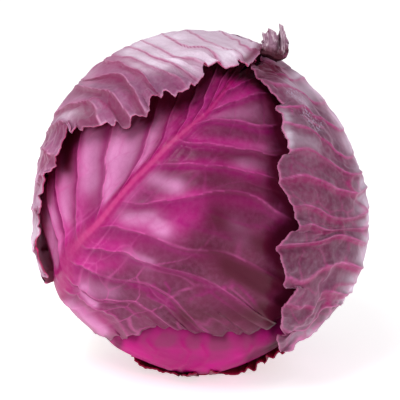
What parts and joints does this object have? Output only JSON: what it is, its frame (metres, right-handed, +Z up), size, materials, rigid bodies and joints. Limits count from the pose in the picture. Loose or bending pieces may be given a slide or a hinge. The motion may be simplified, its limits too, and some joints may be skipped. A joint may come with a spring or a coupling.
{
  "type": "red cabbage head",
  "caption": "Whole red cabbage head lying on its underside, with loose wrapper leaves round a closed heart and a short cut stalk.",
  "frame": {"origin": "centre of the small flat spot that the head rests on, on the surface it lies on", "axes": "+Z up as the head lies; the side with the front leaf's midrib faces -Y, and the stalk points to -X, down and back"},
  "size_m": [0.1661, 0.161, 0.1729],
  "materials": {
    "heart": "waxy, satin",
    "stalk": "cut plant tissue, matte",
    "glossy_leaf": "waxy, soft gloss",
    "pink_leaf": "waxy, soft gloss",
    "dark_leaf": "dry, matte",
    "wrapper_leaf": "wax bloom, satin",
    "pale_leaf": "pale wax bloom, satin"
  },
  "bodies": {
    "root": {"inner_head": "heart", "stalk": "stalk", "front_leaf": "glossy_leaf", "bottom_leaf": "pink_leaf", "back_leaf": "pink_leaf", "under_leaf": "dark_leaf", "right_leaf": "wrapper_leaf", "top_leaf": "pale_leaf"}
  },
  "joints": []
}
